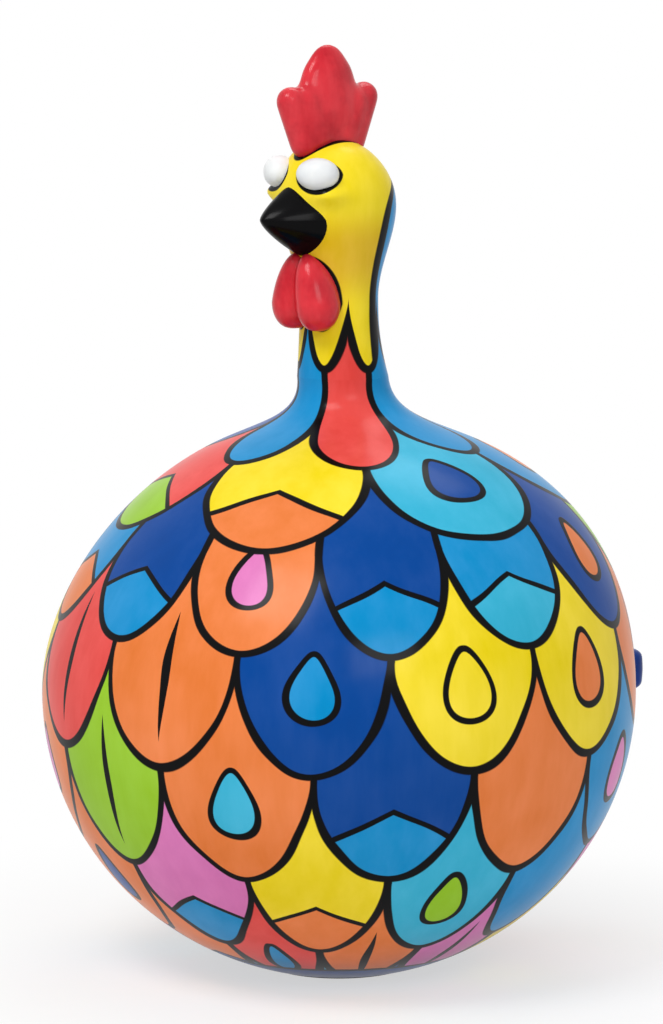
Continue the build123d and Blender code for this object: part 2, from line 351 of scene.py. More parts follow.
def make_feather_group():
    """Colour and outline of tiled feathers, from a column around and a row down."""
    inputs = (
        ("Column", "Float"), ("Row", "Float"), ("Count", "Float"), ("Width", "Float"),
        ("Row Height", "Float"), ("Line", "Float"), ("Seed", "Float"), ("Motif Row", "Float"),
        ("Wide Rows", "Float"),
    )
    outputs = (("Color", "Color"), ("Outline", "Float"), ("Feather Row", "Float"))
    group, given = new_group("painted_feathers", inputs, outputs)
    row, row_height = given["Row"], given["Row Height"]
    half_line = given["Line"] * 0.5
    band = row.floor()
    down = row - band

    def place_in_row(feather_row):
        """Column number, place across it, and width and count of the feathers of a row."""
        halves = feather_row.below(given["Wide Rows"]) * 0.5
        share = 1.0 - halves
        shifted = given["Column"] * share + feather_row.wrap(2.0) * 0.5
        across = shifted - shifted.floor() - 0.5
        return shifted.floor(), across, given["Width"] / share, given["Count"] * share

    column_above, across_above, width_above, count_above = place_in_row(band - 1.0)
    column_below, across_below, width_below, count_below = place_in_row(band)

    tip = down / tip_reach
    reach = (across_above.size() * 2.0) ** side_power + tip**tip_power - 1.0
    slope_across = (across_above.size() * 2.0) ** (side_power - 1) * (2 * side_power) / width_above
    slope_down = tip ** (tip_power - 1) * (tip_power / tip_reach) / row_height
    slope = length_of(slope_across, slope_down).math("MAXIMUM", least_slope)
    edge = (reach / slope).size()
    on_tip = reach.below(0.0)
    side_edge = (0.5 - across_below.size()) * width_below + on_tip

    feather_row = on_tip.pick(band - 1.0, band)
    feather_column = on_tip.pick(column_above.wrap(count_above), column_below.wrap(count_below))
    width = on_tip.pick(width_above, width_below)
    across = on_tip.pick(across_above, across_below) * width
    along = (on_tip + down) * row_height
    motifs = feather_row.above(given["Motif Row"])

    seat_parts = {"X": feather_row, "Y": feather_column, "Z": given["Seed"]}
    seat = add_node(group, "ShaderNodeCombineXYZ", seat_parts)
    chance = add_node(group, "ShaderNodeTexWhiteNoise", {"Vector": seat.outputs[0]}, noise_dimensions="3D")
    colour_chance, motif_chance, second_chance = parts_of(group, chance.outputs["Color"])
    pot_count = float(len(feather_paints))
    first_pot = feather_row * row_pots + feather_column * column_pots + (colour_chance * stray_pots).floor()
    second_pot = first_pot + (second_chance * stray_pots).floor() + stray_pots

    def from_pot(pot):
        """Colour of a numbered paint pot."""
        ramp = add_node(group, "ShaderNodeValToRGB")
        ramp.color_ramp.interpolation = "CONSTANT"
        stops = ramp.color_ramp.elements
        stops.remove(stops[1])
        stops[0].color = feather_paints[0]
        for index in range(1, len(feather_paints)):
            stops.new(index / pot_count).color = feather_paints[index]
        plug(group, ramp.inputs[0], (pot.wrap(pot_count) + 0.5) / pot_count)
        return ramp.outputs[0]

    from_drop = along - row_height * drop_along
    drop_height = row_height * drop_half_height
    drop_shape = (from_drop / drop_height * drop_swell + 1.0).math("MAXIMUM", drop_least)
    drop = oval_edge(across, width * drop_half_width * drop_shape, from_drop, drop_height)
    has_drop = motif_chance.below(drop_until) * motifs

    point = along - row_height * point_along - across.size() * point_slope
    has_point = motif_chance.above(drop_until) * motif_chance.below(point_until) * motifs

    quill_reach = (along / row_height - quill_start) * (quill_end - along / row_height)
    quill = across.size() - quill_reach * quill_fullness
    has_quill = motif_chance.above(quill_from) * motifs

    on_second = has_drop * drop.below(0.0) + has_point * point.above(0.0)
    fill = mix_colour(group, on_second, from_pot(first_pot), from_pot(second_pot))

    outline = line_mask(edge, half_line).math("MAXIMUM", line_mask(side_edge, half_line))
    outline = outline.math("MAXIMUM", line_mask(drop.size(), half_line * thin_line) * has_drop)
    outline = outline.math("MAXIMUM", line_mask(point.size(), half_line * thin_line) * has_point)
    outline = outline.math("MAXIMUM", line_mask(quill, half_line * hair_line) * has_quill)
    give(group, {"Color": fill, "Outline": outline, "Feather Row": feather_row})
    return group


feather_group = make_feather_group()
print("group:", feather_group.name, "with", len(feather_group.nodes), "nodes")

# %% [markdown]
# ## Painted materials
# All painted pieces share one build: a colour and an outline go through the brush strokes into a Principled
# shader with a clear coat. Values that are the same all over are set on the shader's own sockets.


# %% Start and end of a painted material
def new_material(name):
    """An empty material with its tree and object coordinates."""
    material = bpy.data.materials.new(name)
    material.use_nodes = True
    tree = material.node_tree
    tree.nodes.clear()
    place = tree.nodes.new("ShaderNodeTexCoord").outputs["Object"]
    return material, tree, place


def close_material(tree, shader):
    """Link a shader to the material's output."""
    output = tree.nodes.new("ShaderNodeOutputMaterial")
    tree.links.new(shader.outputs[0], output.inputs["Surface"])


outline_ridge = 1.1


def lacquer(tree, place, colour, outline=None, fineness=170.0, strength=0.22, coat=0.26):
    """Brushed paint with an optional black outline, under clear gloss lacquer."""
    values = {"Color": colour, "Place": place, "Fineness": fineness, "Strength": strength}
    strokes = add_node(tree, "ShaderNodeGroup", node_tree=brush_group)
    for name, value in values.items():
        plug(tree, strokes.inputs[name], value)
    painted = strokes.outputs["Color"]
    height = Field(tree, strokes.outputs["Height"])
    if outline is not None:
        painted = mix_colour(tree, outline, painted, outline_black)
        height = height + outline * outline_ridge
    bump = add_node(tree, "ShaderNodeBump", {"Height": height, "Strength": 0.35, "Distance": 0.12 * mm})
    shader = add_node(tree, "ShaderNodeBsdfPrincipled", {
        "Base Color": painted,
        "Roughness": strokes.outputs["Roughness"],
        "Normal": bump.outputs[0],
        "Specular IOR Level": 0.02,
        "Coat Weight": coat,
        "Coat Roughness": 0.17,
        "Coat IOR": 1.33,
    })
    close_material(tree, shader)


def feathers(tree, values):
    """The feather group placed in a material with its own values."""
    node = add_node(tree, "ShaderNodeGroup", node_tree=feather_group)
    for name, value in values.items():
        plug(tree, node.inputs[name], value)
    return node


outline_width = 2.6 * mm
pressure_scale = 42.0
least_pressure = 0.55
pressure_swing = 0.9
wobble = 2.6 * mm
wobble_scale = 30.0


def brush_line(tree, place):
    """Width of an outline, which swells and thins with the pressure on the brush."""
    pressure = noise(tree, place, pressure_scale, detail=1.0) * pressure_swing + least_pressure
    return pressure * outline_width


def hand_wobble(tree, place):
    """How far the painter's hand strays, across and down."""
    strays = add_node(tree, "ShaderNodeTexNoise", {"Vector": place, "Scale": wobble_scale, "Detail": 1.0})
    across, down, _ = parts_of(tree, strays.outputs["Color"])
    return (across - 0.5) * (2 * wobble), (down - 0.5) * (2 * wobble)


print("outline:", outline_width / mm, "mm wide")

# %% [markdown]
# ## Paint of the ball
# Around the ball the column is the angle about the neck's axis. Down the ball the row is the angle from
# straight up, so that rows keep their height over the round of the ball, and feathers grow narrower towards
# the neck. The ground near the foot is plain blue, where feathers would be too narrow to paint.

# %% Material of the ball
ball_feathers = 12
ball_row_angle = radians(22)
first_row_angle = radians(9)
foot_patch_angle = radians(152)
wide_rows = 0.5  # rows before it have half as many feathers, each twice as wide
ball_seed = 3.0
narrowest_feather = 8 * mm
first_row_edge = 0.001  # where the rows of the neck and the ball meet, just inside the ball's first row
motifs_after = -0.5  # so motifs start in row 0


def make_ball_material():
    """Tiled feathers around a ball, each about 50 mm wide at the equator."""
    material, tree, place = new_material("painted_ball")
    x, y, z = parts_of(tree, place)
    stray_across, stray_down = hand_wobble(tree, place)
    out = length_of(x, y)
    from_top = out.math("ARCTAN2", z - equator_z)
    around = x.math("ARCTAN2", y * -1.0)
    width = out * (tau / ball_feathers)
    row_height = ball_row_angle * ball_radius
    row = (from_top - first_row_angle) / ball_row_angle + stray_down / row_height
    group = feathers(tree, {
        "Column": around * (ball_feathers / tau) + stray_across / width.math("MAXIMUM", narrowest_feather),
        "Row": row.math("MAXIMUM", first_row_edge),
        "Count": float(ball_feathers),
        "Width": width,
        "Row Height": row_height,
        "Line": brush_line(tree, place),
        "Seed": ball_seed,
        "Motif Row": motifs_after,
        "Wide Rows": wide_rows,
    })
    to_foot = from_top - foot_patch_angle + stray_down / ball_radius
    on_foot = to_foot.above(0.0)
    colour = mix_colour(tree, on_foot, group.outputs["Color"], deep_blue)
    foot_line = line_mask(to_foot.size() * ball_radius, outline_width / 2)
    outline = (Field(tree, group.outputs["Outline"]) * (1.0 - on_foot)).math("MAXIMUM", foot_line)
    lacquer(tree, place, colour, outline)
    return material


ball_material = make_ball_material()
print("feathers around the ball:", ball_feathers)

# %% [markdown]
# ## The ball
# The ball is turned about one axis, so its shape is a rule: an outline and a number of steps around.
# Geometry Nodes turn the outline: every vertex of a grid takes its radius and height from one vertex of the
# outline, and its angle from its column. Above the equator the real casting leans back a little before the
# neck starts, so the tree also shifts each ring. The outline is a closed wall, with the foot, the stopper's
# hole and the inside.


# %% Outline of the ball's wall
def oval_run(radius, rise, middle_z, first, last, count):
    """Points along an upright oval, between two angles above its equator."""
    points = []
    for step in range(count):
        angle = first + (last - first) * step / (count - 1)
        points.append((radius * cos(angle), middle_z + rise * sin(angle)))
    return points


def bend_run(start, pull, push, end, count):
    """Points along a smooth bend from start to end, without its start."""
    points = []
    for step in range(1, count + 1):
        t = step / count
        weights = ((1 - t) ** 3, 3 * t * (1 - t) ** 2, 3 * t * t * (1 - t), t**3)
        corners = (start, pull, push, end)
        points.append(tuple(sum(w * c[axis] for w, c in zip(weights, corners)) for axis in (0, 1)))
    return points


foot_radius = 27 * mm
shell_wall = 5 * mm
lower_drop = 92 * mm
upper_rise = 88.5 * mm
flare_radius = 40 * mm
collar_radius = 14.5 * mm
socket_radius = 9 * mm
pocket_radius = 14.5 * mm
hole_radius = 10 * mm
pocket_roof_z = foot_z + 3.5 * mm
floor_z = foot_z + 8 * mm
floor_radius = 35 * mm
flare_pull_in = 14.7 * mm
flare_pull_up = 6.3 * mm
flare_push_down = 12 * mm
lower_steps = 48
upper_steps = 40
inner_steps = 20
flare_steps = 20

foot_angle = -acos(foot_radius / ball_radius)
flare_angle = acos(flare_radius / ball_radius)
inner_radius = ball_radius - shell_wall
floor_angle = -acos(floor_radius / inner_radius)
socket_angle = acos(socket_radius / inner_radius)
outside = oval_run(ball_radius, lower_drop, equator_z, foot_angle, 0, lower_steps)
outside += oval_run(ball_radius, upper_rise, equator_z, 0, flare_angle, upper_steps)[1:]
flare_start = outside[-1]
flare_pull = (flare_start[0] - flare_pull_in, flare_start[1] + flare_pull_up)
flare_push = (collar_radius, collar_z - flare_push_down)
outside += bend_run(flare_start, flare_pull, flare_push, (collar_radius, collar_z), flare_steps)
inside = oval_run(inner_radius, upper_rise - shell_wall, equator_z, socket_angle, 0, inner_steps)
inside += oval_run(inner_radius, lower_drop - shell_wall, equator_z, 0, floor_angle, inner_steps)[1:]
underside = [
    (hole_radius, floor_z), (hole_radius, pocket_roof_z),
    (pocket_radius, pocket_roof_z), (pocket_radius, foot_z),
]
wall_outline = outside + [(socket_radius, collar_z)] + inside + underside + [outside[0]]
print("points on the outline:", len(wall_outline))


# %% Geometry Nodes that turn an outline
def new_geometry_tree(name, inputs):
    """A Geometry Nodes tree with named inputs, and its input sockets by name."""
    tree = bpy.data.node_groups.new(name, "GeometryNodeTree")
    tree.interface.new_socket(name="Geometry", in_out="INPUT", socket_type="NodeSocketGeometry")
    for socket_name, kind in inputs:
        tree.interface.new_socket(name=socket_name, in_out="INPUT", socket_type="NodeSocket" + kind)
    tree.interface.new_socket(name="Geometry", in_out="OUTPUT", socket_type="NodeSocketGeometry")
    source = tree.nodes.new("NodeGroupInput")
    return tree, {socket.name: socket for socket in source.outputs if socket.name}


def end_geometry_tree(tree, given, geometry):
    """Real geometry with its material, out of the tree."""
    real = add_node(tree, "GeometryNodeRealizeInstances", {"Geometry": geometry})
    dressed = add_node(tree, "GeometryNodeSetMaterial", {"Geometry": real.outputs[0]})
    plug(tree, dressed.inputs["Material"], given["Material"])
    sink = tree.nodes.new("NodeGroupOutput")
    plug(tree, sink.inputs["Geometry"], dressed.outputs[0])


def make_turning_tree():
    """Turn the vertices of an outline about Z, and lean the upper rings back."""
    inputs = (
        ("Steps Around", "Int"), ("Lean", "Float"), ("Lean From", "Float"), ("Lean Full", "Float"),
        ("Lean Until", "Float"), ("Material", "Material"),
    )
    tree, given = new_geometry_tree("turned_wall", inputs)
    outline = {"Geometry": given["Geometry"]}
    size = add_node(tree, "GeometryNodeAttributeDomainSize", outline, component="MESH")
    point_count = Field(tree, size.outputs["Point Count"])
    steps = Field(tree, given["Steps Around"])
    grid = add_node(tree, "GeometryNodeMeshGrid", {"Vertices X": steps + 1.0, "Vertices Y": point_count})
    index = Field(tree, tree.nodes.new("GeometryNodeInputIndex").outputs[0])
    column = (index / point_count).floor()
    outline_index = index - column * point_count
    sample = add_node(tree, "GeometryNodeSampleIndex", data_type="FLOAT_VECTOR", domain="POINT")
    plug(tree, sample.inputs["Geometry"], given["Geometry"])
    plug(tree, sample.inputs["Value"], tree.nodes.new("GeometryNodeInputPosition").outputs[0])
    plug(tree, sample.inputs["Index"], outline_index)
    radius, _, height = parts_of(tree, sample.outputs[0])
    angle = column / steps * tau
    lean = height.step(given["Lean From"], given["Lean Full"])
    lean = lean * (1.0 - height.step(given["Lean Full"], given["Lean Until"])) * given["Lean"]
    place = add_node(tree, "ShaderNodeCombineXYZ", {
        "X": radius * angle.math("COSINE"),
        "Y": radius * angle.math("SINE") + lean,
        "Z": height,
    })
    turned = {"Geometry": grid.outputs["Mesh"], "Position": place.outputs[0]}
    moved = add_node(tree, "GeometryNodeSetPosition", turned)
    seam = {"Geometry": moved.outputs[0], "Distance": 0.001 * mm}
    joined = add_node(tree, "GeometryNodeMergeByDistance", seam)
    smooth = add_node(tree, "GeometryNodeSetShadeSmooth", {"Geometry": joined.outputs[0]})
    end_geometry_tree(tree, given, smooth.outputs[0])
    return tree


turning_tree = make_turning_tree()
print("tree:", turning_tree.name, "with", len(turning_tree.nodes), "nodes")


# %% Turn the ball
def new_object(name, mesh):
    """An object for a mesh, in the scene."""
    made = bpy.data.objects.new(name, mesh)
    bpy.context.scene.collection.objects.link(made)
    return made


def run_tree(piece, tree, values):
    """Run a Geometry Nodes tree on a piece and keep its result as a plain mesh."""
    modifier = piece.modifiers.new(tree.name, "NODES")
    modifier.node_group = tree
    for item in tree.interface.items_tree:
        if item.in_out == "INPUT" and item.name in values:
            modifier[item.identifier] = values[item.name]
    bpy.context.view_layer.update()
    evaluated = piece.evaluated_get(bpy.context.evaluated_depsgraph_get())
    mesh = bpy.data.meshes.new_from_object(evaluated)
    piece.modifiers.remove(modifier)
    piece.data = mesh
    return piece


def tidy_normals(piece, sharp_angle=radians(50)):
    """Outward faces, smooth but for sharp corners."""
    work = bmesh.new()
    work.from_mesh(piece.data)
    bmesh.ops.recalc_face_normals(work, faces=work.faces)
    if work.calc_volume(signed=True) < 0:
        bmesh.ops.reverse_faces(work, faces=work.faces)
    work.to_mesh(piece.data)
    work.free()
    piece.data.shade_smooth()
    piece.data.set_sharp_from_angle(angle=sharp_angle)


def dress(piece, body, nodes, material=None):
    """Tie a finished piece to its body and the nodes that it stands for."""
    if material is not None:
        piece.data.materials.clear()
        piece.data.materials.append(material)
    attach(piece, body)
    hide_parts(*nodes)
    print(f"{piece.name}: {len(piece.data.vertices)} vertices")


lean_back = 4.8 * mm
lean_full_z = equator_z + 69 * mm
lean_until_z = equator_z + 120 * mm

outline_mesh = bpy.data.meshes.new("ball_outline")
outline_links = [(step, step + 1) for step in range(len(wall_outline) - 1)]
outline_mesh.from_pydata([(radius, 0, z) for radius, z in wall_outline], outline_links, [])
ball = run_tree(new_object("painted_ball", outline_mesh), turning_tree, {
    "Steps Around": 192,
    "Lean": lean_back,
    "Lean From": equator_z,
    "Lean Full": lean_full_z,
    "Lean Until": lean_until_z,
    "Material": ball_material,
})
tidy_normals(ball)
dress(ball, "rooster", ["body_lower_shell", "body_upper_shell"])

# %% [markdown]
# ## Paint of the head and neck
# The face is yellow, turning golden under the cheeks as painted shade, and the back of the neck is blue, with
# a broad black line between them. Low on the neck both colours end in pointed hackle feathers over the ball's
# first row, which runs up the collar: the same group, column and seed carry its colours across the joint.
# Black also edges the eyes, the wattles and the foot of the comb, as an outline and as painted shadow where
# they meet the head.

# %% Places on the head
eye_angle = radians(33)
eye_distance = 17.2 * mm
eye_half_length = 6.85 * mm
eye_half_height = 5.1 * mm
wattle_side = 6.0 * mm
wattle_half_width = 6.7 * mm
wattle_half_depth = 7.2 * mm
wattle_forward = 13.6 * mm
wattle_z = collar_z + 24 * mm
wattle_top = 16.0 * mm
wattle_bottom = 8.5 * mm
wattle_draw_in = 0.55
comb_forward = 4.8 * mm
head_lean = 3.5 * mm  # how far the crown leans forward


def smooth(share):
    """Rise from 0 to 1 that starts and ends level."""
    share = min(max(share, 0), 1)
    return share * share * (3 - 2 * share)


def lean_at(z):
    """How far the casting leans back at a height, as the ball's tree does it."""
    rise = smooth((z - equator_z) / (lean_full_z - equator_z))
    return lean_back * rise * (1 - smooth((z - lean_full_z) / (lean_until_z - lean_full_z)))


def head_shift(z):
    """Y of the middle of the neck or head at a height."""
    return lean_at(z) - head_lean * max((z - waist_z) / (crown_z - waist_z), 0) ** 2


print(f"the collar leans back by {lean_at(collar_z) / mm:.2f} mm")


# %% Places of the head's paint
hackle_top_z = collar_z + 27 * mm
hackle_height = 25 * mm
hackle_wobble = 0.4
hackle_line_thins_z = hackle_top_z - 17 * mm
hackle_line_lifts_z = hackle_top_z - 1 * mm
hackle_line_ends_z = hackle_top_z - 1.2 * mm
no_motifs = 99.0  # past every row
head_row = -1.5  # rows before it take the head's own colours

split_angle = radians(103)
split_bends_z = crown_z - 34 * mm
split_bend_height = 25 * mm
split_power = 4
split_wobble = 0.6
back_line = outline_width * 1.7

# Heights of the painted shade: the face turns golden in the hollow under the cheeks, where shade falls
painted_shade_starts_z = crown_z - 54 * mm
painted_shade_full_z = crown_z - 38 * mm
painted_shade_fades_z = crown_z - 33 * mm
painted_shade_ends_z = crown_z - 20 * mm
painted_shade_strength = 0.75

# The black edge of each eye is widest below it and thins above its middle: an outline that also paints the
# eye's shadow on the head.
eye_rim_drop = 0.5 * mm
eye_rim_width = 0.5 * mm
eye_rim_softness = 0.3 * mm
eye_rim_thinning = 0.3
eye_front = 9 * mm
# The black edge around the wattles on the neck is an outline and also the wattles' painted contact shadow.
wattle_rim_rise = 2 * mm
wattle_rim_half_height = 12.5 * mm
wattle_rim_width = 0.9 * mm
wattle_rim_softness = 0.5 * mm
wattle_rim_thinning = 0.2
# The black ring at the comb's foot is an outline and also the painted shadow under the comb's front lobe.
comb_root_half_width = 5.6 * mm
comb_root_half_length = 11.4 * mm
comb_line = 2.2 * mm
comb_line_from_z = cheek_z + 8 * mm
print(f"the back line is {back_line / mm:.2f} mm wide")


# %% Material of the head
def make_head_material():
    """Yellow face with painted shade under the cheeks, blue back, hackle feathers below, and pieces edged in
    black that also paints their shadows.
    """
    material, tree, place = new_material("painted_head")
    x, y, z = parts_of(tree, place)
    stray_across, stray_down = hand_wobble(tree, place)
    out = length_of(x, y)
    around = x.math("ARCTAN2", y * -1.0)

    width = out * (tau / ball_feathers)
    row = (hackle_top_z - z + stray_down * hackle_wobble) / hackle_height - 1.0
    brush_lift = 1.0 - z.step(hackle_line_thins_z, hackle_line_lifts_z)
    group = feathers(tree, {
        "Column": around * (ball_feathers / tau) + stray_across / width.math("MAXIMUM", narrowest_feather),
        "Row": row.math("MINIMUM", first_row_edge),
        "Count": float(ball_feathers),
        "Width": width,
        "Row Height": hackle_height,
        "Line": brush_lift * brush_line(tree, place),
        "Seed": ball_seed,
        "Motif Row": no_motifs,
        "Wide Rows": wide_rows,
    })
    on_head = Field(tree, group.outputs["Feather Row"]).below(head_row)

    bend = ((z - split_bends_z) / split_bend_height).math("MAXIMUM", 0.0)
    turn = around.size() - split_angle - bend**split_power * (pi - split_angle)
    behind = turn * out + stray_across * split_wobble
    # painted shade: golden yellow in the hollow under the cheeks
    shade = z.step(painted_shade_starts_z, painted_shade_full_z) * (1.0 - z.step(painted_shade_fades_z, painted_shade_ends_z))
    face_colour = mix_colour(tree, shade * painted_shade_strength, sun_yellow, painted_cheek_shade)
    head_colour = mix_colour(tree, behind.above(0.0), face_colour, sky_blue)
    colour = mix_colour(tree, on_head, group.outputs["Color"], head_colour)

    outline = Field(tree, group.outputs["Outline"]) * z.below(hackle_line_ends_z)
    past_first_edge = behind - (back_line - outline_width) / 2
    outline = outline.math("MAXIMUM", line_mask(past_first_edge.size(), back_line / 2) * on_head)

    side = x.size()
    eye_across = side * cos(eye_angle) + (y - head_shift(eye_z)) * sin(eye_angle)
    eye_out = side * sin(eye_angle) - (y - head_shift(eye_z)) * cos(eye_angle)
    eye_ring = oval_edge(eye_across, eye_half_length, z - eye_z + eye_rim_drop, eye_half_height)
    # outline and painted shadow: the eye's black edge thins above its middle, so it stays mainly under the
    # eye
    eye_rim = eye_ring + (z - eye_z).math("MAXIMUM", 0.0) * eye_rim_thinning
    in_eye_rim = 1.0 - eye_rim.step(eye_rim_width, eye_rim_width + eye_rim_softness)
    outline = outline.math("MAXIMUM", in_eye_rim * eye_out.above(eye_front))

    up_wattle = (z - wattle_z).math("MAXIMUM", 0.0) / wattle_top
    aside = 1.0 - up_wattle * wattle_draw_in
    from_wattle = length_of(side - aside * wattle_side, y + wattle_forward)
    wattle_up = z - wattle_z - wattle_rim_rise
    # outline and painted contact shadow of the wattles on the neck
    wattle_edge = oval_edge(from_wattle, wattle_half_width, wattle_up, wattle_rim_half_height)
    wattle_rim = wattle_edge + (wattle_z - z).math("MAXIMUM", 0.0) * wattle_rim_thinning
    in_wattle_rim = 1.0 - wattle_rim.step(wattle_rim_width, wattle_rim_width + wattle_rim_softness)
    outline = outline.math("MAXIMUM", in_wattle_rim)

    # outline and painted shadow at the comb's foot
    comb_ring = oval_edge(x, comb_root_half_width, y + comb_forward, comb_root_half_length)
    on_crown = z.above(comb_line_from_z)
    outline = outline.math("MAXIMUM", line_mask(comb_ring.size(), comb_line / 2) * on_crown)
    lacquer(tree, place, colour, outline, fineness=220.0)
    return material


head_material = make_head_material()
print("material:", head_material.name)

# %% [markdown]
# ## Head and neck
# The neck and head are a stack of ovals: narrow at the waist, deeper than wide at the cheeks, and domed at
# the crown, leaning forward on the way up, with a soft lid swelling under each eye. A loft through rings
# makes that in one skin, and the same loft makes the beak, the eyes and the wattles.


# %% Loft through rings
def loft(name, rings):
    """A closed skin through rings of points, with a middle point at each end."""
    work = bmesh.new()
    rows = [[work.verts.new(point) for point in ring] for ring in rings]
    for low, high in zip(rows, rows[1:]):
        for step in range(len(low)):
            after = (step + 1) % len(low)
            work.faces.new((low[step], low[after], high[after], high[step]))
    for row in (rows[0], rows[-1]):
        middle = work.verts.new(sum((vertex.co for vertex in row), Vector()) / len(row))
        for step in range(len(row)):
            work.faces.new((row[step], row[(step + 1) % len(row)], middle))
    mesh = bpy.data.meshes.new(name)
    work.to_mesh(mesh)
    work.free()
    piece = new_object(name, mesh)
    tidy_normals(piece)
    return piece


def oval_ring(middle, half_width, half_depth, count=96):
    """Points of a level oval around a middle."""
    points = []
    for step in range(count):
        angle = tau * step / count
        points.append(Vector((half_width * sin(angle), -half_depth * cos(angle), 0)) + middle)
    return points


# %% The head
waist_radius = 12.4 * mm
cheek_radius = 18.2 * mm
cheek_depth = 19.5 * mm


def head_radius(z):
    """Half of the neck's or head's width at a height."""
    if z <= waist_z:
        return waist_radius + (collar_radius - waist_radius) * ((waist_z - z) / (waist_z - collar_z)) ** 2
    if z <= cheek_z:
        return waist_radius + (cheek_radius - waist_radius) * smooth((z - waist_z) / (cheek_z - waist_z))
    return cheek_radius * sqrt(max(1 - ((z - cheek_z) / (crown_z - cheek_z)) ** 2, 0))


def head_depth(z):
    """Half of the neck's or head's depth at a height."""
    deeper = (cheek_depth / cheek_radius - 1) * smooth((z - waist_z) / (cheek_z - waist_z))
    return head_radius(z) * (1 + deeper)


lid_angle = radians(42)
lid_z = eye_z - 6.4 * mm
lid_swell = 3.0 * mm
lid_half_width = 5.5 * mm
lid_half_height = 2.9 * mm


def with_lids(point):
    """A point of the face, pushed out where a soft lid swells under each eye."""
    for side in (-1, 1):
        out = Vector((side * sin(lid_angle), -cos(lid_angle), 0))
        across = Vector((cos(lid_angle), side * sin(lid_angle), 0)).dot(point) / lid_half_width
        up = (point.z - lid_z) / lid_half_height
        if out.dot(point) > 0:
            point = point + out * (lid_swell * exp(-across * across - up * up))
    return point


neck_rows = 60
dome_rows = 40
head_heights = [collar_z + (cheek_z - collar_z) * step / neck_rows for step in range(neck_rows)]
head_heights += [cheek_z + (crown_z - cheek_z) * sin(pi / 2 * step / dome_rows) for step in range(dome_rows)]
head_rings = []
for z in head_heights:
    ring = oval_ring(Vector((0, head_shift(z), z)), head_radius(z), head_depth(z))
    head_rings.append([with_lids(point) for point in ring])
head = loft("painted_head_and_neck", head_rings)
dress(head, "rooster", ["head_and_neck"], head_material)

# %% [markdown]
# ## Plain painted colours
# The comb, wattles, beak, eyes and tail each have one paint, but still show the brush: a darker first coat
# shows through in clouds, where the second coat is thin. The red pieces have the thickest lacquer.


# %% Materials with one paint
first_coat_scale = 90.0
thin_cover = 0.25
full_cover = 0.7


def make_plain_material(name, colour, deep_colour, fineness=260.0, strength=0.2, coat=0.26):
    """One paint over a darker first coat that shows through in clouds."""
    material, tree, place = new_material(name)
    cover = noise(tree, place, first_coat_scale, detail=3.0, roughness=0.6).step(thin_cover, full_cover)
    lacquer(tree, place, mix_colour(tree, cover, deep_colour, colour), None, fineness, strength, coat)
    return material


red_material = make_plain_material("red_paint", paint("dc3640"), paint("bd2531"), coat=0.6)
black_material = make_plain_material("black_paint", paint("070608"), paint("040405"), coat=0.2)
white_material = make_plain_material("white_paint", paint("eceeed"), paint("e0e3e6"), strength=0.06)
tail_material = make_plain_material("blue_paint", paint("123f94"), paint("0d2c73"))
print("plain paints:", red_material.name, black_material.name, white_material.name, tail_material.name)

# %% [markdown]
# ## Comb
# The comb is three plump lobes that have run together. Balls along tapered strokes give a tall tongue and a
# lobe before and behind it, with a fuller stroke between. A voxel remesh joins them into one skin, and
# smoothing rounds the creases, as a thumb does on clay.


# %% Lobes run together
def stroke(work, start, end, start_radius, end_radius, flatten=1.0):
    """Balls along a line, growing from one radius to another, and flattened along X."""
    count = 9
    for step in range(count):
        share = step / (count - 1)
        radius = start_radius + (end_radius - start_radius) * share
        middle = start.lerp(end, share)
        place = Matrix.Translation(middle) @ Matrix.Diagonal((radius * flatten, radius, radius, 1))
        bmesh.ops.create_icosphere(work, subdivisions=3, radius=1, matrix=place)


def square_off(work, half_height, squareness):
    """Push the round top and bottom of a form about Z = 0 outward into level faces with rounded edges."""
    for vertex in work.verts:
        height = vertex.co.z / half_height
        vertex.co.z = half_height * copysign(abs(height) ** squareness, height)


def run_together(name, work, voxel, rounds):
    """One smooth skin around everything in a work mesh."""
    mesh = bpy.data.meshes.new(name)
    work.to_mesh(mesh)
    work.free()
    piece = new_object(name, mesh)
    remesh = piece.modifiers.new("one_skin", "REMESH")
    remesh.mode = "VOXEL"
    remesh.voxel_size = voxel
    rounding = piece.modifiers.new("rounding", "SMOOTH")
    rounding.factor = 0.5
    rounding.iterations = rounds
    bpy.context.view_layer.update()
    evaluated = piece.evaluated_get(bpy.context.evaluated_depsgraph_get())
    piece.data = bpy.data.meshes.new_from_object(evaluated)
    piece.modifiers.clear()
    tidy_normals(piece, sharp_angle=radians(80))
    return piece


# %% The comb
def on_comb(along, up):
    """A point on the comb's middle plane: along from its middle, up from the crown."""
    return Vector((0, -comb_forward + along * mm, crown_z + up * mm))


# Places on the comb are in millimetres, along from its middle and up from the crown
tongue_flatness = 0.5
tongue_levels = ((-2, 9.0), (9, 12.8), (17, 10.3), (22.3, 7.1))  # each a height and a radius
lobe_flatness = 0.94
lobe_root = (9.0, -1.6)
lobe_along = 14.9
front_lobe_up = 11.6
rear_lobe_up = 12.5
lobe_radii = (5.2 * mm, 4.9 * mm)
filler_root = (5.2, 1.0)
filler_end = (9.6, 10.6)
filler_radii = (6.4 * mm, 6.0 * mm)

